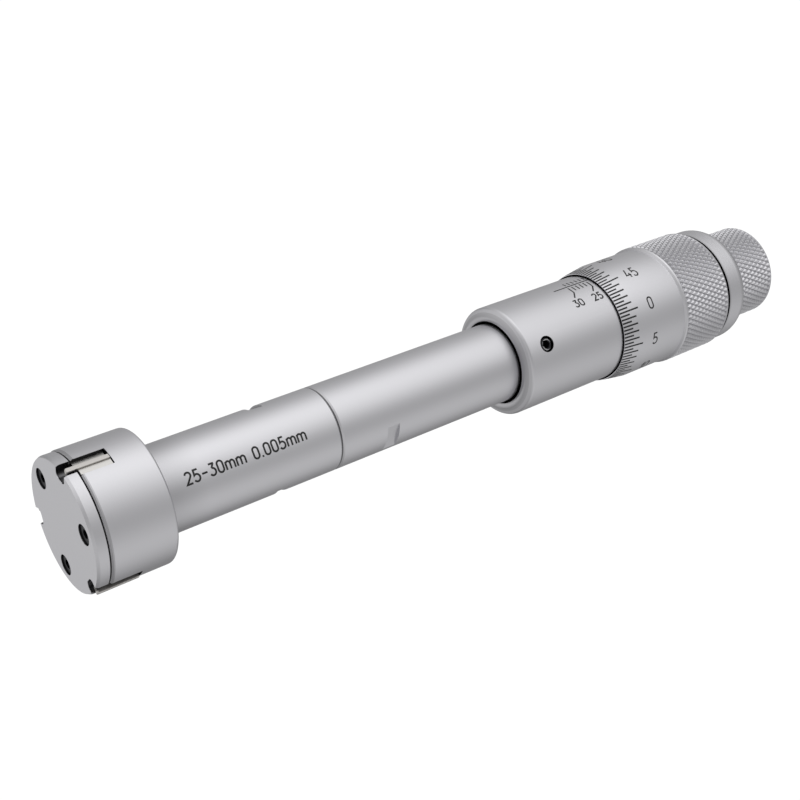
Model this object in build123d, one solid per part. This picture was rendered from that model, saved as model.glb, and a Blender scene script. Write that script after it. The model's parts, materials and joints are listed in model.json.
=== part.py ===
import os
from math import asin, cos, radians, sin, tan

from build123d import *

# Three-point inside micrometer for holes of 25 to 30 mm, shown run right back.
# It stands on the flat end of its ratchet knob, with the measuring head up.
# Lengths are in millimetres, angles in degrees, and angles turn from +X towards +Y.
# A depth is a distance back from the face of the measuring end.

# Screw, cone and travel
thread_pitch = 0.5
cone_slope = 0.5                 # radius gained for each millimetre along the cone
diameter_range = 6.1
cone_travel = diameter_range / 2 / cone_slope
anvil_travel = diameter_range / 2

# Clearances
running_gap = 0.05               # radial, for what turns or slides in a bore
seat_gap = 0.02                  # radial, for what is screwed or pushed home
side_gap = 0.05                  # each side of an anvil in its slot
contact_gap = 0.03               # between the cone and each anvil

# Measuring head
head_radius = 11.71
head_length = 11.6               # behind the cover
head_front_step = 0.16
head_front_bevel = 0.26
head_rear_round = 0.5
cover_thickness = 2.4
cover_edge_step = 0.22
cover_edge_length = 0.48
cover_recess_radius = 2.0
cover_floor = 1.2
joint_groove_width = 0.28        # at the cover's rear edge
joint_groove_depth = 0.45
screw_circle_radius = 8.5
screw_angle = -106.0
screw_head_radius = 1.65
screw_head_height = 1.25
screw_head_sink = 0.3
screw_radius = 1.0
screw_length = 6.2
screw_clearance = 0.1
counterbore_gap = 0.15
hex_across_flats = 1.5
hex_depth = 0.7

# Slots, notches and anvils: the first slot lies at anvil_angle, the others a third of a turn on
anvil_count = 3
anvil_angle = -48.5
slot_width = 3.7
slot_length = 5.6
slot_end_gap = 0.25
notch_wide_side = 1.85           # from the slot's centre line
notch_narrow_side = 1.0
notch_floor_radius = 9.45
notch_round = 0.9
anvil_face_drop = 0.05           # below the head's surface
anvil_inner_radius = 1.3
anvil_front_gap = 0.05
foot_radius = 5.9
foot_rear_gap = 0.1
foot_stop_gap = 0.35
shoulder_drop = 0.77
rib_left = -0.72                 # sides of the carbide rib, from the slot's centre line
rib_right = 0.06
rib_height = 1.5
rib_proud = 0.255
nose_depth = 0.5
nose_round = 0.3
anvil_spring_radius = 0.7
anvil_spring_wire = 0.2
anvil_spring_turns = 6
spring_pocket_gap = 0.2
spring_pocket_length = 2.2

# Tubes
tube_radius = 7.7
lower_tube_length = 34.0
head_spigot_radius = 6.9
head_spigot_length = 2.7
guide_bore_radius = 5.75
joint_spigot_radius = 6.5
joint_spigot_length = 6.0
lower_tube_rear_step = 0.12
lower_tube_rear_bevel = 0.15
joint_relief_width = 0.15        # a groove where the two tubes meet
joint_relief_depth = 0.4
upper_tube_front_step = 0.25
upper_tube_front_bevel = 0.5
upper_tube_exposed = 40.65
rod_guide_length = 18.0
chamber_radius = 5.0
flats_across = 14.4
flats_length = 2.6
lower_flats_from_joint = 11.2    # flats' middle to the joint of the two tubes
lower_flats_angle = -4.0
upper_flats_from_joint = 11.0
upper_flats_angle = -143.2

# Cone, rod and ball
tip_radius = 0.9
tip_gap = 0.4
skirt_length = 10.7
rod_radius = 2.5
rod_journal_radius = 2.0
rod_journal_length = 8.0
rod_flange_radius = 4.6
rod_flange_length = 2.0
rod_tail_radius = 3.0
ball_radius = 2.0
ball_seat_depth = 1.4
return_spring_radius = 3.75
return_spring_wire = 0.45
return_spring_turns = 8
return_spring_length = 28.0
spring_end_gap = 0.05

# Spindle and its nut
spindle_radius = 4.0
spindle_nose_radius = 3.5
spindle_nose_length = 4.8
spindle_lead = 1.8               # ahead of the nut when the screw is run back
spindle_seat_radius = 4.98
nut_radius = 6.0
nut_body_length = 12.0
nut_tail_length = 12.0
nut_tail_taper = 0.2
nut_tail_relief = 0.1
nut_slit_width = 0.6
nut_slit_count = 3
ring_nut_radius = 7.4
ring_nut_length = 6.0
ring_nut_setback = 3.0
ring_notch_width = 1.5
ring_notch_depth = 1.0           # along the axis
ring_notch_reach = 0.9           # in from the rim
ring_notch_count = 4

# Sleeve
sleeve_radius = 10.72
sleeve_seat_length = 23.35
sleeve_overhang = 2.0
sleeve_mouth_gap = 0.55
sleeve_mouth_length = 3.0
sleeve_lip_width = 0.95
sleeve_lip_drop = 0.1            # at both sides of its crest
sleeve_cone_end_drop = 0.3       # below the sleeve's surface
sleeve_cone_length = 0.59
sleeve_shoulder_length = 0.5
sleeve_rear_bore_radius = 8.4
sleeve_exposed = 24.55
set_screw_setback = 5.5
set_screw_angle = -91.8
set_screw_radius = 1.57
set_screw_bevel = 0.4
set_screw_sink = 0.4
set_screw_socket_depth = 1.4

# Thimble and collar
thimble_length = 29.45
thimble_rim_radius = 11.15
thimble_mouth_radius = 11.04     # inside the rim, from where the bore narrows
thimble_mouth_length = 1.6
thimble_cone_length = 5.2
thimble_radius = 11.9
thimble_grip_setback = 16.4
thimble_ramp_length = 0.65
thimble_ramp_share = 0.75        # of its rise, reached half way along
thimble_grip_radius = 12.4
thimble_edge = 0.2
thimble_bore_gap = 0.08
thimble_web_gap = 3.9
collar_gap = 0.85
collar_length = 5.7
collar_radius = 11.94
collar_straight_length = 3.45
collar_rear_radius = 10.4
collar_boss_radius = 7.5

# Ratchet
knob_gap = 0.7
knob_length = 10.4
knob_radius = 9.45
knob_edge = 0.35
knob_floor = 2.8
pawl_radius = 6.2
pawl_gap = 0.1
pawl_bore_gap = 0.1
pawl_body_length = 2.4
pawl_key_reach = 1.0
pawl_key_width = 1.6
pawl_key_count = 2
key_gap = 0.1
tooth_count = 24
tooth_height = 0.4
tooth_backlash = 0.6
tooth_inner_radius = 2.9
tooth_outer_radius = 4.8
tooth_root = 0.2
tooth_gap = 0.03
spindle_end_stand = 1.4          # beyond the collar
ratchet_spring_radius = 4.3
ratchet_spring_wire = 0.3
ratchet_spring_turns = 3
shoulder_radius = 2.25
ratchet_head_radius = 3.4
ratchet_head_gap = 0.2
ratchet_head_sink = 0.2
ratchet_head_seat = 1.5          # depth of the sinking in the knob's end
ratchet_head_lift = 0.05
ratchet_thread_radius = 1.5
ratchet_thread_length = 5.0
ratchet_slot_width = 0.8
ratchet_slot_depth = 0.6

# Places along the instrument, as depths from the measuring end
head_end = cover_thickness + head_length
slot_end = cover_thickness + slot_length
spigot_face = head_end - head_spigot_length
tube_joint = head_end + lower_tube_length
tip_depth = cover_floor + tip_gap + cone_travel
skirt_start = tip_depth + (guide_bore_radius - running_gap - tip_radius) / cone_slope
skirt_end = skirt_start + skirt_length
guide_start = tube_joint - joint_spigot_length
chamber_start = guide_start + rod_guide_length
flange_start = chamber_start + return_spring_length
sleeve_start = tube_joint + upper_tube_exposed
upper_tube_end = sleeve_start + sleeve_seat_length
nut_start = upper_tube_end - nut_body_length
nut_end = upper_tube_end + nut_tail_length
sleeve_end = nut_end + sleeve_overhang
spindle_start = nut_start - spindle_lead
ball_front = spindle_start - seat_gap - 2 * ball_radius
thimble_start = sleeve_start + sleeve_exposed
web_start = sleeve_end + cone_travel + thimble_web_gap
thimble_end = thimble_start + thimble_length
collar_start = thimble_end + collar_gap
collar_end = collar_start + collar_length
spindle_end = collar_end + spindle_end_stand
knob_start = collar_end + knob_gap
overall_length = knob_start + knob_length
knob_wall = overall_length - knob_floor
head_seat_depth = overall_length - ratchet_head_seat

# Radii that follow from the fits
cover_radius = head_radius - head_front_step
foot_stop_radius = foot_radius + anvil_travel + foot_stop_gap
foot_end = spigot_face - foot_rear_gap
anvil_half_width = slot_width / 2 - side_gap
contact_radius = head_radius + rib_proud
rib_floor_radius = contact_radius - rib_height
skirt_radius = guide_bore_radius - running_gap
nut_tail_radius = nut_radius - nut_tail_relief
sleeve_bore_radius = tube_radius + seat_gap
thimble_bore_radius = sleeve_radius + thimble_bore_gap
knob_bore_radius = pawl_radius + pawl_gap
pawl_base = spindle_end + tooth_height + tooth_gap
pawl_end = pawl_base + pawl_body_length
past = 2.0                       # how far a cutting tool runs past what it cuts


def height(depth):
    return overall_length - depth


def turned(*outline, bulges={}):
    # A solid of revolution from (radius, depth) points; a bulge bends the side after its point.
    points = [Vector(radius, 0, height(depth)) for radius, depth in outline]
    sides = []
    for place, start in enumerate(points):
        end = points[(place + 1) % len(points)]
        if place in bulges:
            radius, depth = bulges[place]
            sides.append(ThreePointArc(start, Vector(radius, 0, height(depth)), end))
        else:
            sides.append(Line(start, end))
    return revolve(make_face(sides), Axis.Z)


def drum(radius, start, end):
    upright = (Align.CENTER, Align.CENTER, Align.MIN)
    return Pos(0, 0, height(end)) * Cylinder(radius, end - start, align=upright)


def block(near, far, left, right, start, end):
    middle = Pos((near + far) / 2, (left + right) / 2, height((start + end) / 2))
    return middle * Box(far - near, right - left, end - start)


def radial_drum(radius, near, far, depth):
    # A round bar that points outwards along +X.
    middle = Pos((near + far) / 2, 0, height(depth))
    return middle * Rot(0, 90, 0) * Cylinder(radius, far - near)


def around(count, first_angle=0.0):
    return [Rot(0, 0, first_angle + 360 / count * turn) for turn in range(count)]


def screw_places():
    return around(anvil_count, screw_angle)


def coil(mean_radius, wire_radius, length, turns):
    # A round wire spring that stands on the XY plane, its wire's axis from end to end.
    path = Helix(pitch=length / turns, height=length, radius=mean_radius)
    wire = Plane(origin=path @ 0, z_dir=path % 0) * Circle(wire_radius)
    return sweep(wire, path=path, is_frenet=True)


def hexagon_hole(across_flats, depth):
    return extrude(RegularPolygon(across_flats / 2, 6, major_radius=False), depth)


# Measuring head

def front_cover():
    plate = turned(
        (0, 0),
        (cover_radius - cover_edge_step, 0),
        (cover_radius, cover_edge_length),
        (cover_radius, cover_thickness - joint_groove_width),
        (cover_radius - joint_groove_depth, cover_thickness - joint_groove_width),
        (cover_radius - joint_groove_depth, cover_thickness),
        (cover_recess_radius, cover_thickness),
        (cover_recess_radius, cover_floor),
        (0, cover_floor),
    )
    for place in around(anvil_count, anvil_angle):
        plate -= place * notch()
    for place in screw_places():
        at_screw = place * Pos(screw_circle_radius, 0, 0)
        plate -= at_screw * drum(screw_head_radius + counterbore_gap, -past, screw_seat())
        plate -= at_screw * drum(screw_radius + screw_clearance, 0, cover_thickness + past)
    return plate


def notch():
    length = cover_radius + past - notch_floor_radius
    width = notch_wide_side + notch_narrow_side
    outline = Pos(notch_floor_radius + length / 2, (notch_wide_side - notch_narrow_side) / 2)
    outline *= Rectangle(length, width)
    corners = outline.vertices().sort_by(Axis.X)[:2]
    outline = fillet(corners, notch_round)
    depth = cover_thickness + 2 * past
    return Pos(0, 0, height(cover_thickness + past)) * extrude(outline, depth)


def screw_seat():
    return screw_head_sink + screw_head_height


def cover_screws():
    shank_end = screw_seat() + screw_length
    screw = drum(screw_head_radius, screw_head_sink, screw_seat())
    screw += drum(screw_radius, screw_seat(), shank_end)
    socket = hexagon_hole(hex_across_flats, hex_depth + past)
    screw -= Pos(0, 0, height(screw_head_sink + hex_depth)) * socket
    screw = Pos(screw_circle_radius, 0, 0) * screw
    return [place * screw for place in screw_places()]


def head_body():
    front = cover_thickness
    body = turned(
        (guide_bore_radius, front),
        (head_radius - head_front_bevel, front),
        (head_radius, front + head_front_bevel),
        (head_radius, head_end),
        (head_spigot_radius + seat_gap, head_end),
        (head_spigot_radius + seat_gap, spigot_face),
        (guide_bore_radius, spigot_face),
    )
    rear_edge = body.edges().filter_by(GeomType.CIRCLE).sort_by(SortBy.RADIUS)
    rear_edge = rear_edge.filter_by_position(Axis.Z, height(head_end), height(head_end))
    body = fillet(rear_edge[-1], head_rear_round)
    half = slot_width / 2
    for place in around(anvil_count, anvil_angle):
        body -= place * block(0, head_radius + past, -half, half, front - past, slot_end)
        body -= place * block(0, foot_stop_radius, -half, half, slot_end, spigot_face)
    tapped_end = screw_seat() + screw_length + counterbore_gap
    for place in screw_places():
        hole = drum(screw_radius + seat_gap, front - past, tapped_end)
        body -= place * Pos(screw_circle_radius, 0, 0) * hole
    return body


# Anvils

def cone_line(depth):
    # Radius of each anvil's sloping face, just clear of the cone.
    return tip_radius + contact_gap + cone_slope * (depth - tip_depth)


def anvil():
    front = cover_thickness + anvil_front_gap
    shank_end = slot_end - slot_end_gap
    far = head_radius + past
    slope_start = tip_depth + (anvil_inner_radius - tip_radius - contact_gap) / cone_slope
    outline = [
        (anvil_inner_radius, front),
        (far, front),
        (far, shank_end),
        (foot_radius, shank_end),
        (foot_radius, foot_end),
        (cone_line(foot_end), foot_end),
        (anvil_inner_radius, slope_start),
    ]
    corners = [(radius, 0, height(depth)) for radius, depth in outline]
    side = make_face(Polyline(*corners, close=True))
    body = extrude(side, anvil_half_width, dir=(0, 1, 0), both=True)
    body &= drum(head_radius - anvil_face_drop, front, foot_end)
    body -= block(rib_floor_radius, far, rib_left, rib_right, front - past, shank_end + past)
    dropped = head_radius - shoulder_drop
    body -= block(dropped, far, 0, slot_width, front - past, shank_end + past)
    pocket = radial_drum(
        anvil_spring_radius + anvil_spring_wire + spring_pocket_gap,
        foot_radius - spring_pocket_length,
        foot_radius + past,
        foot_middle(),
    )
    return body - pocket


def foot_middle():
    return (slot_end - slot_end_gap + foot_end) / 2


def anvil_tip():
    shank_end = slot_end - slot_end_gap
    rib = block(rib_floor_radius, contact_radius + past, rib_left, rib_right, nose_depth, shank_end)
    rib &= drum(contact_radius, nose_depth, shank_end)
    nose = rib.edges().filter_by_position(Axis.Z, height(nose_depth), height(nose_depth))
    return fillet(nose, nose_round)


def anvil_spring():
    near = foot_radius - spring_pocket_length
    length = foot_stop_radius - near - 2 * (anvil_spring_wire + spring_end_gap)
    spring = coil(anvil_spring_radius, anvil_spring_wire, length, anvil_spring_turns)
    start = near + anvil_spring_wire + spring_end_gap
    return Pos(start, 0, height(foot_middle())) * Rot(0, 90, 0) * spring


# Tubes

def spanner_flats(depth, angle):
    start = depth - flats_length / 2
    end = depth + flats_length / 2
    near = flats_across / 2
    cut = block(near, near + past, -tube_radius, tube_radius, start, end)
    return [place * cut for place in around(2, angle)]


def lower_tube():
    tube = turned(
        (guide_bore_radius, spigot_face),
        (head_spigot_radius, spigot_face),
        (head_spigot_radius, head_end),
        (tube_radius, head_end),
        (tube_radius, tube_joint - lower_tube_rear_bevel),
        (tube_radius - lower_tube_rear_step, tube_joint),
        (joint_spigot_radius + seat_gap, tube_joint),
        (joint_spigot_radius + seat_gap, guide_start),
        (guide_bore_radius, guide_start),
    )
    for cut in spanner_flats(tube_joint - lower_flats_from_joint, lower_flats_angle):
        tube -= cut
    return tube


def upper_tube():
    rod_bore = rod_radius + running_gap
    tube = turned(
        (rod_bore, guide_start + seat_gap),
        (joint_spigot_radius, guide_start + seat_gap),
        (joint_spigot_radius, tube_joint),
        (tube_radius - joint_relief_depth, tube_joint),
        (tube_radius - joint_relief_depth, tube_joint + joint_relief_width),
        (tube_radius - upper_tube_front_step, tube_joint + joint_relief_width),
        (tube_radius, tube_joint + upper_tube_front_bevel),
        (tube_radius, upper_tube_end),
        (nut_radius + seat_gap, upper_tube_end),
        (nut_radius + seat_gap, nut_start - seat_gap),
        (chamber_radius, nut_start - seat_gap),
        (chamber_radius, chamber_start),
        (rod_bore, chamber_start),
    )
    for cut in spanner_flats(tube_joint + upper_flats_from_joint, upper_flats_angle):
        tube -= cut
    return tube


def sleeve():
    # A rounded lip, a short cone and a rounded shoulder lead up to the sleeve's surface.
    # Half way along the shoulder's arc, which ends flush, a quarter of the drop is left.
    mouth_radius = tube_radius + sleeve_mouth_gap
    lip_side = sleeve_start + sleeve_lip_drop
    cone_end = lip_side + sleeve_cone_length
    shoulder = cone_end + sleeve_shoulder_length
    shoulder_middle = (sleeve_radius - sleeve_cone_end_drop / 4, (cone_end + shoulder) / 2)
    body = turned(
        (mouth_radius, lip_side),
        (mouth_radius + sleeve_lip_width, lip_side),
        (sleeve_radius - sleeve_cone_end_drop, cone_end),
        (sleeve_radius, shoulder),
        (sleeve_radius, sleeve_end),
        (sleeve_rear_bore_radius, sleeve_end),
        (sleeve_rear_bore_radius, upper_tube_end),
        (sleeve_bore_radius, upper_tube_end),
        (sleeve_bore_radius, sleeve_start + sleeve_mouth_length),
        (mouth_radius, sleeve_start + sleeve_mouth_length),
        bulges={0: (mouth_radius + sleeve_lip_width / 2, sleeve_start), 2: shoulder_middle},
    )
    depth = sleeve_start + set_screw_setback
    hole = radial_drum(set_screw_radius, 0, sleeve_radius + past, depth)
    return body - Rot(0, 0, set_screw_angle) * hole


def sleeve_set_screw():
    depth = sleeve_start + set_screw_setback
    outer = sleeve_radius - set_screw_sink
    screw = radial_drum(set_screw_radius - seat_gap, tube_radius + seat_gap, outer, depth)
    rim = screw.edges().filter_by(GeomType.CIRCLE).sort_by(Axis.X)[-1]
    screw = chamfer(rim, set_screw_bevel)
    socket = hexagon_hole(hex_across_flats, set_screw_socket_depth + past)
    screw -= Pos(outer - set_screw_socket_depth, 0, height(depth)) * Rot(0, 90, 0) * socket
    return Rot(0, 0, set_screw_angle) * screw


# Cone, rod, ball and springs

def measuring_cone():
    bore_radius = rod_journal_radius + seat_gap
    bore_start = skirt_end - rod_journal_length - seat_gap
    return turned(
        (0, tip_depth),
        (tip_radius, tip_depth),
        (skirt_radius, skirt_start),
        (skirt_radius, skirt_end),
        (bore_radius, skirt_end),
        (bore_radius, bore_start),
        (0, bore_start),
    )


def push_rod():
    rod_end = ball_front + ball_seat_depth
    rod = turned(
        (0, skirt_end - rod_journal_length),
        (rod_journal_radius, skirt_end - rod_journal_length),
        (rod_journal_radius, skirt_end),
        (rod_radius, skirt_end),
        (rod_radius, flange_start),
        (rod_flange_radius, flange_start),
        (rod_flange_radius, flange_start + rod_flange_length),
        (rod_tail_radius, flange_start + rod_flange_length),
        (rod_tail_radius, rod_end),
        (0, rod_end),
    )
    return rod - Pos(0, 0, height(ball_front + ball_radius)) * Sphere(ball_radius + seat_gap)


def thrust_ball():
    return Pos(0, 0, height(ball_front + ball_radius)) * Sphere(ball_radius)


def cone_return_spring():
    length = return_spring_length - 2 * (return_spring_wire + spring_end_gap)
    spring = coil(return_spring_radius, return_spring_wire, length, return_spring_turns)
    return Pos(0, 0, height(flange_start) + return_spring_wire + spring_end_gap) * spring


# Spindle and its nut

def spindle_nut():
    bore = spindle_radius + running_gap
    nut = turned(
        (bore, nut_start),
        (nut_radius, nut_start),
        (nut_radius, upper_tube_end),
        (nut_tail_radius, upper_tube_end),
        (nut_tail_radius - nut_tail_taper, nut_end),
        (bore, nut_end),
    )
    half = nut_slit_width / 2
    slit_start = upper_tube_end + nut_slit_width
    for place in around(nut_slit_count):
        nut -= place * block(0, nut_radius + past, -half, half, slit_start, nut_end + past)
    return nut


def adjusting_nut():
    start = upper_tube_end + ring_nut_setback
    end = start + ring_nut_length
    bore = nut_tail_radius + seat_gap
    ring = turned(
        (bore, start),
        (ring_nut_radius, start),
        (ring_nut_radius, end),
        (bore, end),
    )
    half = ring_notch_width / 2
    for place in around(ring_notch_count):
        near = ring_nut_radius - ring_notch_reach
        far = ring_nut_radius + past
        ring -= place * block(near, far, -half, half, end - ring_notch_depth, end + past)
    return ring


def spindle():
    taper_start = web_start - (spindle_seat_radius - spindle_radius)
    screw = turned(
        (0, spindle_start),
        (spindle_nose_radius, spindle_start),
        (spindle_nose_radius, spindle_start + spindle_nose_length),
        (spindle_radius, spindle_start + spindle_nose_length),
        (spindle_radius, taper_start),
        (spindle_seat_radius, web_start),
        (spindle_seat_radius, spindle_end),
        (ratchet_thread_radius + seat_gap, spindle_end),
        (ratchet_thread_radius + seat_gap, spindle_end - ratchet_thread_length - seat_gap),
        (0, spindle_end - ratchet_thread_length - seat_gap),
    )
    rise = [(-tooth_root, -tooth_root), (0, tooth_height)]
    return fuse_teeth(screw, rise, spindle_end)


def fuse_teeth(body, heights, base_depth):
    # Sawteeth that climb one way round; heights are (start, end) of the two long sides.
    half_angle = (360 / tooth_count - tooth_backlash) / 2
    sections = []
    for radius in (tooth_inner_radius, tooth_outer_radius):
        half = radius * tan(radians(half_angle))
        (low_start, low_end), (high_start, high_end) = heights
        corners = [
            (radius, -half, height(base_depth + low_start)),
            (radius, half, height(base_depth + low_end)),
            (radius, half, height(base_depth + high_end)),
            (radius, -half, height(base_depth + high_start)),
        ]
        sections.append(make_face(Polyline(*corners, close=True)))
    tooth = loft(sections, ruled=True)
    return body + [place * tooth for place in around(tooth_count)]


# Thimble and collar

def thimble():
    grip_start = thimble_start + thimble_grip_setback
    ramp_end = grip_start + thimble_ramp_length
    rise = thimble_grip_radius - thimble_radius
    return turned(
        (thimble_mouth_radius, thimble_start),
        (thimble_rim_radius, thimble_start),
        (thimble_radius, thimble_start + thimble_cone_length),
        (thimble_radius, grip_start),
        (thimble_grip_radius, ramp_end),
        (thimble_grip_radius, thimble_end - thimble_edge),
        (thimble_grip_radius - thimble_edge, thimble_end),
        (spindle_seat_radius + seat_gap, thimble_end),
        (spindle_seat_radius + seat_gap, web_start),
        (thimble_bore_radius, web_start),
        (thimble_bore_radius, thimble_start + thimble_mouth_length),
        bulges={3: (thimble_radius + rise * thimble_ramp_share, (grip_start + ramp_end) / 2)},
    )


def thimble_collar():
    # The rear edge is an arc that leaves the cylinder without a corner.
    curve_start = collar_start + collar_straight_length
    drop = collar_radius - collar_rear_radius
    run = collar_end - curve_start
    arc_radius = (drop ** 2 + run ** 2) / (2 * drop)
    half_turn = asin(run / arc_radius) / 2
    middle_radius = collar_radius - arc_radius * (1 - cos(half_turn))
    middle_depth = curve_start + arc_radius * sin(half_turn)
    return turned(
        (spindle_seat_radius + seat_gap, thimble_end),
        (collar_boss_radius, thimble_end),
        (collar_boss_radius, collar_start),
        (collar_radius, collar_start),
        (collar_radius, curve_start),
        (collar_rear_radius, collar_end),
        (spindle_seat_radius + seat_gap, collar_end),
        bulges={4: (middle_radius, middle_depth)},
    )


# Ratchet

def ratchet_knob():
    knob = turned(
        (knob_bore_radius, knob_start),
        (knob_radius - knob_edge, knob_start),
        (knob_radius, knob_start + knob_edge),
        (knob_radius, overall_length - knob_edge),
        (knob_radius - knob_edge, overall_length),
        (ratchet_head_radius + ratchet_head_gap, overall_length),
        (ratchet_head_radius + ratchet_head_gap, head_seat_depth),
        (shoulder_radius + running_gap, head_seat_depth),
        (shoulder_radius + running_gap, knob_wall),
        (knob_bore_radius, knob_wall),
    )
    half = pawl_key_width / 2 + key_gap
    reach = pawl_radius + pawl_key_reach + key_gap
    for place in around(pawl_key_count):
        knob -= place * block(0, reach, -half, half, knob_start - past, knob_wall)
    return knob


def ratchet_pawl():
    bore = shoulder_radius + pawl_bore_gap
    ring = turned(
        (bore, pawl_base),
        (pawl_radius, pawl_base),
        (pawl_radius, pawl_end),
        (bore, pawl_end),
    )
    half = pawl_key_width / 2
    for place in around(pawl_key_count):
        key = block(tooth_outer_radius, pawl_radius + pawl_key_reach, -half, half, pawl_base, pawl_end)
        ring += place * key
    drop = -tooth_height
    return fuse_teeth(ring, [(drop, 0), (tooth_root, tooth_root)], pawl_base)


def ratchet_spring():
    length = knob_wall - pawl_end - 2 * (ratchet_spring_wire + spring_end_gap)
    spring = coil(ratchet_spring_radius, ratchet_spring_wire, length, ratchet_spring_turns)
    return Pos(0, 0, height(knob_wall) + ratchet_spring_wire + spring_end_gap) * spring


def ratchet_screw():
    head_start = head_seat_depth + ratchet_head_lift
    head_end_depth = overall_length - ratchet_head_sink
    screw = turned(
        (0, spindle_end - ratchet_thread_length),
        (ratchet_thread_radius, spindle_end - ratchet_thread_length),
        (ratchet_thread_radius, spindle_end),
        (shoulder_radius, spindle_end),
        (shoulder_radius, head_start),
        (ratchet_head_radius, head_start),
        (ratchet_head_radius, head_end_depth),
        (0, head_end_depth),
    )
    half = ratchet_slot_width / 2
    reach = ratchet_head_radius + past
    slot_start = head_end_depth - ratchet_slot_depth
    return screw - block(-reach, reach, -half, half, slot_start, head_end_depth + past)


pieces = {
    "front_cover": front_cover(),
    "head_body": head_body(),
    "lower_tube": lower_tube(),
    "upper_tube": upper_tube(),
    "sleeve": sleeve(),
    "sleeve_set_screw": sleeve_set_screw(),
    "measuring_cone": measuring_cone(),
    "push_rod": push_rod(),
    "thrust_ball": thrust_ball(),
    "cone_return_spring": cone_return_spring(),
    "spindle_nut": spindle_nut(),
    "adjusting_nut": adjusting_nut(),
    "spindle": spindle(),
    "thimble": thimble(),
    "thimble_collar": thimble_collar(),
    "ratchet_knob": ratchet_knob(),
    "ratchet_pawl": ratchet_pawl(),
    "ratchet_spring": ratchet_spring(),
    "ratchet_screw": ratchet_screw(),
}
for number, place in enumerate(around(anvil_count, anvil_angle), start=1):
    pieces[f"anvil_{number}"] = place * anvil()
    pieces[f"anvil_tip_{number}"] = place * anvil_tip()
    pieces[f"anvil_spring_{number}"] = place * anvil_spring()

os.makedirs("parts", exist_ok=True)
for name, piece in pieces.items():
    export_step(piece.solid(), f"parts/{name}.step")
screws = [screw.solid() for screw in cover_screws()]
export_step(Compound(screws), "parts/cover_screws.step")
print("overall length", round(overall_length, 2))
print("turns of the screw", round(cone_travel / thread_pitch, 2))
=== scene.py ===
import json
import math

import bmesh
import bpy
from mathutils import Matrix, Vector


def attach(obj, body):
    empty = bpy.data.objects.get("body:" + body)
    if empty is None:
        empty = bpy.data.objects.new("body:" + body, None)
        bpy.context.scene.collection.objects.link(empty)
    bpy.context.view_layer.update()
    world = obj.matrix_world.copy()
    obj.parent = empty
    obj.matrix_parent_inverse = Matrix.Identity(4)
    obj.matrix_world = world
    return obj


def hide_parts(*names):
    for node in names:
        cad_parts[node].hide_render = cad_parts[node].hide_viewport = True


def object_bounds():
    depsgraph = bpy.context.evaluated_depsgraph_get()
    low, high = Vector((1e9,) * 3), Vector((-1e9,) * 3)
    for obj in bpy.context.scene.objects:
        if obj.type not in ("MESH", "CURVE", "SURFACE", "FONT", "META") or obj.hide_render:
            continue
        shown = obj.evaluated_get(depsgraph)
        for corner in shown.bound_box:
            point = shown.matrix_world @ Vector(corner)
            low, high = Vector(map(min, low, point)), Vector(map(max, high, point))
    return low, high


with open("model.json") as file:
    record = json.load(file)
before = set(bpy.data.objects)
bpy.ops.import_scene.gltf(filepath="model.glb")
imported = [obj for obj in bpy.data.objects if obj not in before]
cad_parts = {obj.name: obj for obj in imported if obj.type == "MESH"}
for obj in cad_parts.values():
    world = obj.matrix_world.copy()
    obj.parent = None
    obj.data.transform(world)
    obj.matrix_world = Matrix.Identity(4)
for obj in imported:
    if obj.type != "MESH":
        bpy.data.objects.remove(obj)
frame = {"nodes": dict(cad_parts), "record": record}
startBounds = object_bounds()
print("loaded the frame with", len(frame["nodes"]), "nodes")

mm = 0.001
fullLength = startBounds[1][2] / mm  # from the knob's end to the measuring face, in millimetres


# A depth runs back from the measuring face. A turn runs clockwise from +X, seen from the face.
def spot(depth, radius, turn):
    angle = math.radians(-turn)
    return Vector((radius * math.cos(angle), radius * math.sin(angle), fullLength - depth)) * mm


def newObject(name, bm, material, smoothAngle=0):
    bmesh.ops.recalc_face_normals(bm, faces=bm.faces)
    mesh = bpy.data.meshes.new(name)
    bm.to_mesh(mesh)
    bm.free()
    mesh.materials.append(material)
    mesh.polygons.foreach_set("use_smooth", [smoothAngle > 0] * len(mesh.polygons))
    if smoothAngle > 0:
        mesh.set_sharp_from_angle(angle=math.radians(smoothAngle))
    obj = bpy.data.objects.new(name, mesh)
    bpy.context.collection.objects.link(obj)
    return obj


# Materials

metals = {
    "satin_chrome": {"color": (0.766, 0.762, 0.79), "roughness": 0.34, "lines": 0.12, "speckle": 0.05},
    "ground_steel": {"color": (0.74, 0.725, 0.7), "roughness": 0.32, "lines": 0.1, "speckle": 0.03},
    "carbide": {"color": (0.7, 0.675, 0.65), "roughness": 0.34, "lines": 0.05, "speckle": 0.02},
    "black_steel": {"color": (0.035, 0.035, 0.04), "roughness": 0.42, "lines": 0.05, "speckle": 0.1},
    "spring_steel": {"color": (0.45, 0.45, 0.47), "roughness": 0.3, "lines": 0.05, "speckle": 0.05},
}
ownLooks = {"thimble_collar": {"lines": 0.7}}  # what differs from the metal of the piece's slot
finish = {
    "grainScale": 5000, "grainDetail": 2,  # a fine matt grain
    "lineScale": (60, 60, 9000), "lineDetail": 3,  # close along the axis and long round it
    "lineHeight": 0.02 * mm,
    # the colour of the painted shade
    "paintedShadeColor": (0.004, 0.004, 0.004),
}
blackInk = {"color": (0.012, 0.012, 0.012), "roughness": 0.55, "grainScale": 3000, "lighter": 1.6}
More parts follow.
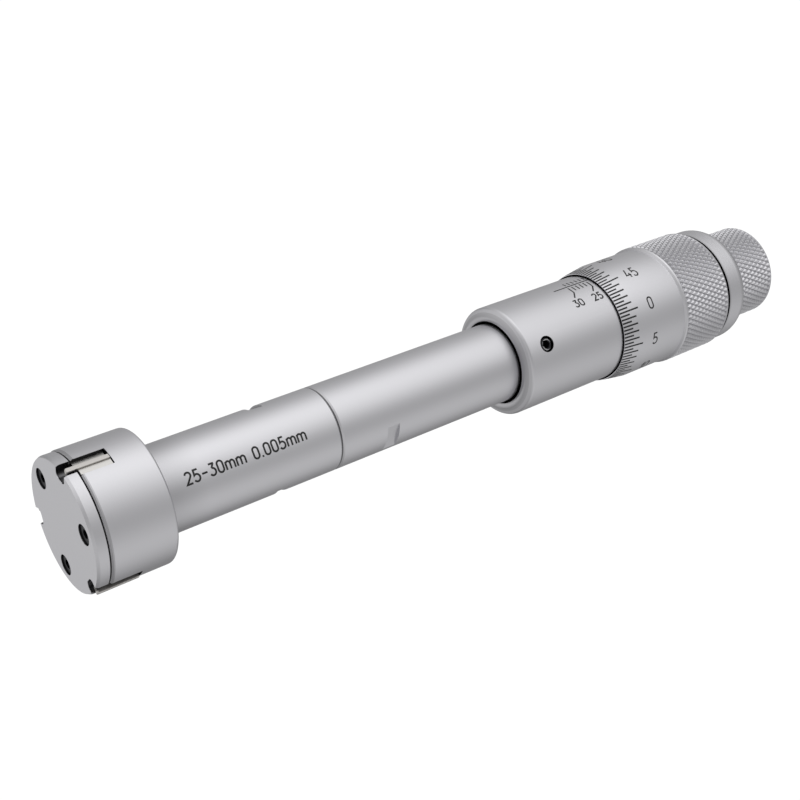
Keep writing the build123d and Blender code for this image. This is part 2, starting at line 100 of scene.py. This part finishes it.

# Painted shade on a piece: from one depth to another, what lies under a radius is painted darker, and how
# dark it gets.
# A fifth value makes the painted shade fade out along the way.
paintedShades = {
    "front_cover": [
        (0.06, 0.3, 11.3, 0.9),  # painted shade on the rims of the notches and the counterbores
        (0.3, 2.1, 11.44, 0.8),  # painted shade on their walls
        (2.1, 2.28, 11.5, 0.35),
        (2.28, 2.5, 11.6, 0.96),  # painted shade in the groove behind the cover
    ],
    "head_body": [
        (2.3, 2.42, 11.44, 0.96),  # painted shade on the face under the cover
        (2.42, 2.66, 11.5, 0.96),
        (2.66, 9.0, 11.66, 0.96),  # painted shade in the slots
        (2.5, 2.9, 11.8, 0.3),  # painted shade on the front bevel
    ],
    "lower_tube": [
        (13.9, 15.2, 7.8, 0.5, True),  # painted shadow on the tube behind the head, fading out
        # a longer, fainter painted shadow behind the head, fading out
        (13.9, 22.0, 7.8, 0.2, True),
        (38.0, 38.2, 7.66, 0.55),  # painted shade at the rear end of the spanner flats
        (47.74, 48.1, 8.0, 0.65),  # painted shade in the joint of the tubes
    ],
    "upper_tube": [
        (47.9, 48.24, 8.0, 0.65),  # painted shade in the joint of the tubes
        (88.7, 112.1, 8.0, 0.98),  # painted shade inside the sleeve
    ],
    "sleeve": [
        (88.85, 126.1, 8.5, 0.98),  # painted shade in the bore
        (88.4, 89.5, 9.9, 0.4, True),  # painted shade on the lip, fading out
        (91.0, 97.5, 10.66, 0.98),  # painted shade in the set screw's hole
        (113.25, 126.1, 11.0, 0.95),  # painted shade inside the thimble
    ],
    "thimble": [
        (113.22, 143.0, 11.09, 0.98),  # painted shade in the bore
        (130.4, 142.4, 12.12, 0.25),  # painted shade in the grooves of the knurl
        (142.6, 142.7, 11.9, 0.7),  # painted shade on the rear face
    ],
    "thimble_collar": [
        (142.0, 143.6, 11.84, 0.88),  # painted shade in the gap behind the thimble
        # painted shade on the collar's front edge, fading out
        (143.5, 144.0, 12.0, 0.3, True),
    ],
    "ratchet_knob": [
        (149.8, 149.95, 9.0, 0.9),  # painted shade on the front face
        (149.8, 150.8, 9.6, 0.5, True),  # painted shadow behind the collar, fading out
        (150.3, 159.9, 9.17, 0.25),  # painted shade in the grooves of the knurl
        (157.4, 160.2, 3.65, 0.9),  # painted shade in the screw's hole
    ],
}
for number in (1, 2, 3):
    paintedShades[f"anvil_{number}"] = [
        (0.9, 2.6, 11.0, 0.7),  # painted shade on the front end
        (2.6, 9.0, 11.6, 0.25),  # painted shade on the shoulder and the flanks
    ]
    paintedShades[f"anvil_tip_{number}"] = [
        (0.4, 0.9, 11.45, 0.7),  # painted shade on the nose
        (0.9, 9.0, 11.78, 0.6),  # painted shade on the sides of the rib
    ]
setScrewRing = {"depth": 94.4, "turn": 92.6, "inside": 0.88, "outside": 1.11, "color": (0.45, 0.45, 0.46)}


# A new shader node. A socket gets either a value or a link from another node's output.
def added(tree, kind, sockets=None, **settings):
    node = tree.nodes.new("ShaderNode" + kind)
    for setting, value in settings.items():
        setattr(node, setting, value)
    for socket, value in (sockets or {}).items():
        if isinstance(value, bpy.types.NodeSocket):
            tree.links.new(value, node.inputs[socket])
        else:
            node.inputs[socket].default_value = value
    return node


def calculated(tree, operation, *values):
    return added(tree, "Math", dict(enumerate(values)), operation=operation).outputs[0]


def vector(tree, operation, *values):
    return added(tree, "VectorMath", dict(enumerate(values)), operation=operation).outputs["Vector"]


def vectorValue(tree, operation, *values):
    return added(tree, "VectorMath", dict(enumerate(values)), operation=operation).outputs["Value"]


def mixed(tree, share, first, second):
    colors = {"Factor": share, "A": (*first, 1), "B": (*second, 1)}
    return added(tree, "Mix", colors, data_type="RGBA").outputs["Result"]


# A mask of painted shade, made from the spans by depth and radius.
def paintedShadeMask(tree, place, spans):
    height = added(tree, "SeparateXYZ", {0: place}).outputs["Z"]
    radius = vectorValue(tree, "LENGTH", vector(tree, "MULTIPLY", place, (1, 1, 0)))
    total = 0.0
    for start, end, under, darkness, *fades in spans:
        behind = calculated(tree, "LESS_THAN", height, (fullLength - start) * mm)
        ahead = calculated(tree, "GREATER_THAN", height, (fullLength - end) * mm)
        within = calculated(tree, "LESS_THAN", radius, under * mm)
        dark = calculated(tree, "MULTIPLY", calculated(tree, "MULTIPLY", behind, ahead), within)
        if fades:
            toEnd = calculated(tree, "SUBTRACT", height, (fullLength - end) * mm)
            share = calculated(tree, "DIVIDE", toEnd, (end - start) * mm)
            dark = calculated(tree, "MULTIPLY", dark, share)
        total = calculated(tree, "MAXIMUM", total, calculated(tree, "MULTIPLY", dark, darkness))
    return total


# A lighter ring round the set screw's own axis.
def ringed(tree, place, color, look):
    away = vector(tree, "SUBTRACT", place, spot(look["depth"], 0, 0))
    screwAxis = spot(fullLength, 1 / mm, look["turn"])
    distance = vectorValue(tree, "LENGTH", vector(tree, "CROSS_PRODUCT", away, screwAxis))
    outside = calculated(tree, "GREATER_THAN", distance, look["inside"] * mm)
    inside = calculated(tree, "LESS_THAN", distance, look["outside"] * mm)
    return mixed(tree, calculated(tree, "MULTIPLY", outside, inside), color, look["color"])


def newMaterial(name, color, roughness):
    material = bpy.data.materials.new(name)
    material.use_nodes = True
    tree = material.node_tree
    shader = tree.nodes["Principled BSDF"].inputs
    shader["Base Color"].default_value = (*color, 1)
    shader["Roughness"].default_value = roughness
    return material, tree, shader, added(tree, "TexCoord").outputs["Object"]


def metal(name, color, roughness, lines, speckle, spans=(), ring=None):
    material, tree, shader, place = newMaterial(name, color, roughness)
    shader["Metallic"].default_value = 1.0
    # Painted shade: the places in the spans get a darker base colour.
    if spans:
        shades = mixed(tree, paintedShadeMask(tree, place, spans), color, finish["paintedShadeColor"])
        tree.links.new(shades, shader["Base Color"])
    if ring:
        tree.links.new(ringed(tree, place, color, ring), shader["Base Color"])
    grain = added(tree, "TexNoise", {
        "Vector": place, "Scale": finish["grainScale"], "Detail": finish["grainDetail"],
    })
    spread = added(tree, "MapRange", {
        "Value": grain.outputs["Fac"], "To Min": roughness - speckle, "To Max": roughness + speckle,
    })
    tree.links.new(spread.outputs["Result"], shader["Roughness"])
    along = added(tree, "Mapping", {"Vector": place, "Scale": finish["lineScale"]})
    turned = added(tree, "TexNoise", {
        "Vector": along.outputs["Vector"], "Scale": 1, "Detail": finish["lineDetail"],
    })
    relief = added(tree, "Bump", {
        "Height": turned.outputs["Fac"], "Strength": lines, "Distance": finish["lineHeight"],
    })
    tree.links.new(relief.outputs["Normal"], shader["Normal"])
    return material


def inkMaterial(look):
    material, tree, shader, place = newMaterial("black_ink", look["color"], look["roughness"])
    grain = added(tree, "TexNoise", {"Vector": place, "Scale": look["grainScale"]})
    lighter = [part * look["lighter"] for part in look["color"]]
    tree.links.new(mixed(tree, grain.outputs["Fac"], look["color"], lighter), shader["Base Color"])
    return material


materials = {}
for part in frame["record"]["subparts"]:
    piece, slot = part["node"], part["material_slot"]
    ring = setScrewRing if piece == "sleeve_set_screw" else None
    look = dict(metals[slot], **ownLooks.get(piece, {}))
    # A piece with painted shade, or the set screw with its ring, gets a material of its own.
    name = f"{slot}_{piece}" if ring or piece in paintedShades else slot
    if name not in materials:
        materials[name] = metal(name, **look, spans=paintedShades.get(piece, ()), ring=ring)
    mesh = frame["nodes"][piece].data
    mesh.materials.clear()
    mesh.materials.append(materials[name])
ink = inkMaterial(blackInk)
print("materials are on")


# Knurled thimble and knob

thimble = {
    "bore": 10.8, "mouth": 11.04, "rim": 11.15, "band": 11.9, "grip": 12.4, "webBore": 5.0,
    "start": 113.2, "mouthEnd": 114.8, "coneEnd": 118.4, "gripStart": 129.6, "rampEnd": 130.25,
    "end": 142.65, "web": 136.0, "edge": 0.2,
    "rampShare": 0.75,  # of its rise, reached half way along
    "knurlsAround": 69, "knurlStep": 1.02, "knurlDepth": 0.36, "knurlTop": 0.3,
}
knob = {
    "bore": 6.3, "grip": 9.45, "start": 149.9, "end": fullLength, "wall": 157.5, "edge": 0.35,
    "screwBore": 3.6, "seat": 158.8, "shoulderBore": 2.3,
    "knurlsAround": 53, "knurlStep": 1.04, "knurlDepth": 0.36, "knurlTop": 0.3,
}
runOut = {"length": 0.08, "drop": 0.03}  # at both ends of a knurl
near = 0.01  # how far off a point may lie and still belong to the knurl


def lathe(bm, outline, steps):
    verts = [bm.verts.new(spot(depth, radius, 0)) for radius, depth in outline]
    edges = [bm.edges.new(pair) for pair in zip(verts, verts[1:] + verts[:1])]
    bmesh.ops.spin(bm, geom=verts + edges, cent=(0, 0, 0), axis=(0, 0, 1),
                   angle=2 * math.pi, steps=steps, use_merge=True)


# Rings of the knurled band: a smooth one at each end, and the rows of points between them.
def gripRows(look, start, end):
    first, last = start + runOut["length"], end - runOut["length"]
    rows = round((last - first) / look["knurlStep"])
    smooth = look["grip"] - runOut["drop"]
    middle = [(look["grip"], first + (last - first) * row / rows) for row in range(rows + 1)]
    return [(smooth, start)] + middle + [(smooth, end)], first, last, rows


# Every other point goes down to the grooves, which are joined corner to corner. The points between
# are lifted, so that their cut-off tops lie at the grip's radius.
def knurl(bm, look, first, last, rows):
    radius, top = look["grip"], look["knurlTop"]
    steps = look["knurlsAround"] * 2
    lift = look["knurlDepth"] * top / (1 - top)
    valleys, peaks = [], []
    for vert in bm.verts:
        depth = fullLength - vert.co.z / mm
        outward = math.hypot(vert.co.x, vert.co.y) / mm
        if not first - near < depth < last + near or outward < radius - near:
            continue
        row = round((depth - first) / (last - first) * rows)
        column = round(math.atan2(vert.co.y, vert.co.x) / (2 * math.pi) * steps) % steps
        change = 0
        if (row + column) % 2:
            valleys.append(vert)
            change = -look["knurlDepth"]
        elif 0 < row < rows:
            peaks.append(vert)
            change = lift
        vert.co.x *= 1 + change / radius
        vert.co.y *= 1 + change / radius
    bmesh.ops.connect_verts(bm, verts=valleys)
    bmesh.ops.bevel(bm, geom=peaks, offset=top * 100, offset_type="PERCENT", affect="VERTICES",
                    segments=1, profile=0.5, material=-1)


def thimblePiece(look):
    bm = bmesh.new()
    grip, first, last, rows = gripRows(look, look["rampEnd"], look["end"] - look["edge"])
    rampMiddle = (look["gripStart"] + look["rampEnd"]) / 2
    rampRadius = look["band"] + (look["grip"] - look["band"]) * look["rampShare"]
    outline = [
        (look["mouth"], look["start"]), (look["rim"], look["start"]), (look["band"], look["coneEnd"]),
        (look["band"], look["gripStart"]), (rampRadius, rampMiddle),
    ]
    outline += grip
    outline += [
        (look["grip"] - look["edge"], look["end"]), (look["webBore"], look["end"]),
        (look["webBore"], look["web"]), (look["bore"], look["web"]), (look["bore"], look["mouthEnd"]),
    ]
    lathe(bm, outline, look["knurlsAround"] * 2)
    knurl(bm, look, first, last, rows)
    return newObject("thimble_knurled", bm, materials["satin_chrome_thimble"], smoothAngle=25)


def knobPiece(look):
    bm = bmesh.new()
    grip, first, last, rows = gripRows(look, look["start"] + look["edge"], look["end"] - look["edge"])
    outline = [(look["bore"], look["start"]), (look["grip"] - look["edge"], look["start"])]
    outline += grip
    outline += [
        (look["grip"] - look["edge"], look["end"]), (look["screwBore"], look["end"]),
        (look["screwBore"], look["seat"]), (look["shoulderBore"], look["seat"]),
        (look["shoulderBore"], look["wall"]), (look["bore"], look["wall"]),
    ]
    lathe(bm, outline, look["knurlsAround"] * 2)
    knurl(bm, look, first, last, rows)
    return newObject("knob_knurled", bm, materials["satin_chrome_ratchet_knob"], smoothAngle=25)


knurledThimble = thimblePiece(thimble)
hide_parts("thimble")
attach(knurledThimble, "drum")
knurledKnob = knobPiece(knob)
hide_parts("ratchet_knob")
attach(knurledKnob, "knob")
print("knurled pieces are made")


# Marks, drawn as strokes and laid on the turned surfaces

inkLayer = {"thickness": 0.03, "lift": 0.004, "longestStep": 0.35, "bowStep": 20}
thimbleScale = {
    "lines": 100, "lineWidth": 0.33, "short": 2.2, "medium": 3.55, "long": 4.5,
    "zeroTurn": 89.9, "fromRim": 0.02,
    "digits": 2.3, "stroke": 0.31, "digitsDepth": 121.15, "stretch": 0.95,
}
sleeveScale = {
    "radius": 10.72,
    "datumTurn": 36.4, "datumStart": 103.8, "datumEnd": 119.0, "datumWidth": 0.28,
    "ticks": 12, "firstTick": 107.02, "tickStep": 0.5,
    "tickWidth": 0.3, "tickGap": 0.5, "tickLength": 1.33, "halfTickLength": 1.0,
    "labels": {"30": 0, "25": 10},  # the tick of each number, which has a leader
    "leader": [(0.0, -0.5), (0.0, -2.3), (-0.95, -3.6)],
    "labelShift": -1.05, "labelTurn": 63.0, "digits": 1.55, "stroke": 0.3, "stretch": 1.15,
}
rangeMark = {
    "radius": 7.7, "text": "25-30mm 0.005mm", "digits": 1.95, "stroke": 0.33, "depth": 30.0, "turn": 90.0,
}


def bow(middleX, middleY, radiusX, radiusY, start, end):
    count = max(3, round(abs(end - start) / inkLayer["bowStep"]))
    angles = [math.radians(start + (end - start) * step / count) for step in range(count + 1)]
    return [(middleX + radiusX * math.cos(a), middleY + radiusY * math.sin(a)) for a in angles]


# Each letter has its width and its strokes, at a height of 1.
letters = {
    "0": (0.5, [bow(0.25, 0.75, 0.25, 0.25, 0, 180) + bow(0.25, 0.25, 0.25, 0.25, 180, 360) + [(0.5, 0.75)]]),
    "1": (0.3, [[(0.0, 0.72), (0.3, 1.0), (0.3, 0.0)]]),
    "2": (0.5, [bow(0.25, 0.74, 0.25, 0.26, 165, -35) + [(0.0, 0.0), (0.52, 0.0)]]),
    "3": (0.5, [
        [(0.02, 1.0), (0.5, 1.0)],
        [(0.46, 1.0), (0.2, 0.62)],
        bow(0.22, 0.31, 0.28, 0.31, 95, -150),
    ]),
    "4": (0.55, [[(0.26, 1.0), (0.0, 0.3), (0.56, 0.3)], [(0.42, 0.52), (0.42, 0.0)]]),
    "5": (0.5, [[(0.46, 1.0), (0.09, 1.0), (0.05, 0.55)] + bow(0.23, 0.31, 0.28, 0.31, 110, -150)]),
    "m": (0.8, [
        [(0.0, 0.0), (0.0, 0.7)],
        bow(0.2, 0.48, 0.2, 0.22, 180, 0) + [(0.4, 0.0)],
        bow(0.6, 0.48, 0.2, 0.22, 180, 0) + [(0.8, 0.0)],
    ]),
    "-": (0.5, [[(0.0, 0.45), (0.5, 0.45)]]),
    ".": (0.1, [[(0.05, -0.06), (0.05, 0.1)]]),
    " ": (0.35, []),
}


def written(text, height, stretch=1.0, gap=0.25):
    total = sum(letters[letter][0] for letter in text) + gap * (len(text) - 1)
    strokes, at = [], -total / 2
    for letter in text:
        width, lines = letters[letter]
        strokes += [[((at + x) * height * stretch, (y - 0.5) * height) for x, y in line] for line in lines]
        at += width + gap
    return strokes


def divided(stroke):
    points = [stroke[0]]
    for (x0, y0), (x1, y1) in zip(stroke, stroke[1:]):
        count = max(1, math.ceil(math.hypot(x1 - x0, y1 - y0) / inkLayer["longestStep"]))
        points += [(x0 + (x1 - x0) * n / count, y0 + (y1 - y0) * n / count) for n in range(1, count + 1)]
    return points


def strokeMesh(name, strokes, width):
    curve = bpy.data.curves.new(name, "CURVE")
    curve.dimensions = "2D"
    curve.fill_mode = "NONE"
    curve.bevel_depth = width / 2 * mm
    curve.bevel_resolution = 0
    curve.use_fill_caps = True
    for stroke in strokes:
        points = divided(stroke)
        spline = curve.splines.new("POLY")
        spline.points.add(len(points) - 1)
        for point, (x, y) in zip(spline.points, points):
            point.co = (x * mm, y * mm, 0, 1)
    holder = bpy.data.objects.new(name, curve)
    mesh = bpy.data.meshes.new_from_object(holder)
    bpy.data.objects.remove(holder)
    bpy.data.curves.remove(curve)
    return mesh


# Strokes are (along the axis, round the surface) in millimetres, from one depth and turn.
def drawMarks(name, body, radiusAt, groups):
    bm = bmesh.new()
    for strokes, width, depth, turn in groups:
        mesh = strokeMesh(name, strokes, width)
        flat = inkLayer["thickness"] / width
        for vert in mesh.vertices:
            x, y, z = vert.co / mm
            radius = radiusAt(depth + x)
            lifted = radius + z * flat + inkLayer["lift"]
            vert.co = spot(depth + x, lifted, turn - math.degrees(y / radius))
        bm.from_mesh(mesh)
        bpy.data.meshes.remove(mesh)
    obj = newObject(name, bm, ink)
    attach(obj, body)


def thimbleRadius(depth):
    slope = (thimble["band"] - thimble["rim"]) / (thimble["coneEnd"] - thimble["start"])
    return min(thimble["band"], thimble["rim"] + slope * (depth - thimble["start"]))


# Every tenth line is long and has its number, and every second of the others is a medium one.
def thimbleMarks(look):
    groups = []
    for number in range(look["lines"]):
        numbered = number % 10 == 0
        length = look["long"] if numbered else look["medium"] if number % 2 == 0 else look["short"]
        turn = look["zeroTurn"] + 360 / look["lines"] * number
        line = [(0.0, 0.0), (length, 0.0)]
        groups.append(([line], look["lineWidth"], thimble["start"] + look["fromRim"], turn))
        if numbered:
            strokes = written(str(number // 2), look["digits"], look["stretch"])
            groups.append((strokes, look["stroke"], look["digitsDepth"], turn))
    return groups


def sleeveMarks(look):
    datum = [(0.0, 0.0), (look["datumEnd"] - look["datumStart"], 0.0)]
    groups = [([datum], look["datumWidth"], look["datumStart"], look["datumTurn"])]
    gap = look["tickGap"]
    for tick in range(look["ticks"]):
        if tick % 2:
            stroke = [(0.0, gap), (0.0, gap + look["halfTickLength"])]
        elif tick in look["labels"].values():
            stroke = look["leader"]
        else:
            stroke = [(0.0, -gap), (0.0, -gap - look["tickLength"])]
        depth = look["firstTick"] + tick * look["tickStep"]
        groups.append(([stroke], look["tickWidth"], depth, look["datumTurn"]))
    for text, tick in look["labels"].items():
        depth = look["firstTick"] + tick * look["tickStep"] + look["labelShift"]
        strokes = written(text, look["digits"], look["stretch"])
        groups.append((strokes, look["stroke"], depth, look["labelTurn"]))
    return groups


def rangeMarks(look):
    return [(written(look["text"], look["digits"]), look["stroke"], look["depth"], look["turn"])]


drawMarks("thimble_marks", "drum", thimbleRadius, thimbleMarks(thimbleScale))
drawMarks("sleeve_marks", "frame", lambda depth: sleeveScale["radius"], sleeveMarks(sleeveScale))
drawMarks("range_marks", "frame", lambda depth: rangeMark["radius"], rangeMarks(rangeMark))
print("marks are drawn")


# Floor, backdrop, light and camera

stage = {"glow": 1.05, "floorSize": 4, "backdropRadius": 5}
light = {
    "base": 0.1,
    # Each light has its direction, how narrow it is and its strength. Its name says where the picture has it.
    "upperLeft": ((0.79, -0.39, 0.48), 2.6, 0.69),
    "top": ((0.76, -0.53, -0.39), 6.3, 0.73),
    "right": ((0.17, -0.82, -0.54), 8.7, 0.63),
    "topBehind": ((0.7, 0.42, -0.58), 3.1, 0.32),
    "below": ((-0.88, -0.43, 0.19), 1.9, 0.37),
    "lowerRight": ((-0.75, -0.02, -0.66), 3.3, 0.33),
    "left": ((0.06, 0.68, 0.73), 4.9, 0.69),
    "behind": ((-0.04, 0.99, -0.15), 7.4, 0.19),
    "front": ((-0.45, -0.45, 0.77), 5.0, 0.2),
}
camera = {
    "place": (-0.34, -202.05, 220.02), "lens": 58.59, "sensor": 36, "nearest": 0.01, "farthest": 50,
    "right": (-0.35673, -0.49380, -0.79304),
    "up": (0.93421, -0.18856, -0.30282),
    "back": (0.0, -0.84889, 0.52857),
}


def glowing(name, strength):
    material = bpy.data.materials.new(name)
    material.use_nodes = True
    tree = material.node_tree
    tree.nodes.remove(tree.nodes["Principled BSDF"])
    glow = added(tree, "Emission", {"Strength": strength})
    tree.links.new(glow.outputs["Emission"], tree.nodes["Material Output"].inputs["Surface"])
    return material


# A stage piece is seen behind the object, and neither lights it nor shades it.
def stagePiece(name, bm, material):
    obj = newObject(name, bm, material)
    obj.visible_diffuse = False
    obj.visible_glossy = False
    obj.visible_transmission = False
    obj.visible_shadow = False


def buildStage(look):
    white = glowing("white_stage", look["glow"])
    floorMesh = bmesh.new()
    bmesh.ops.create_grid(floorMesh, x_segments=1, y_segments=1, size=look["floorSize"])
    stagePiece("floor", floorMesh, white)
    domeMesh = bmesh.new()
    bmesh.ops.create_uvsphere(domeMesh, u_segments=32, v_segments=16, radius=look["backdropRadius"])
    stagePiece("backdrop", domeMesh, white)


def lightWorld(look):
    world = bpy.data.worlds.new("soft_studio")
    bpy.context.scene.world = world
    world.use_nodes = True
    tree = world.node_tree
    place = added(tree, "TexCoord").outputs["Generated"]
    lights = dict(look)
    total = lights.pop("base")
    for direction, narrowness, strength in lights.values():
        facing = vectorValue(tree, "DOT_PRODUCT", place, Vector(direction).normalized())
        front = calculated(tree, "MAXIMUM", facing, 0.0)
        spread = calculated(tree, "POWER", front, narrowness)
        total = calculated(tree, "MULTIPLY_ADD", spread, strength, total)
    background = tree.nodes["Background"].inputs
    background["Color"].default_value = (1, 1, 1, 1)
    tree.links.new(total, background["Strength"])


def placeCamera(look):
    data = bpy.data.cameras.new("camera")
    data.lens = look["lens"]
    data.sensor_width = look["sensor"]
    data.clip_start = look["nearest"]
    data.clip_end = look["farthest"]
    obj = bpy.data.objects.new("camera", data)
    bpy.context.collection.objects.link(obj)
    turn = Matrix([look["right"], look["up"], look["back"]]).transposed().to_4x4()
    obj.matrix_world = Matrix.Translation(Vector(look["place"]) * mm) @ turn
    bpy.context.scene.camera = obj


buildStage(stage)
lightWorld(light)
placeCamera(camera)
bpy.context.scene.view_settings.view_transform = "Standard"
print("stage, light and camera are set")
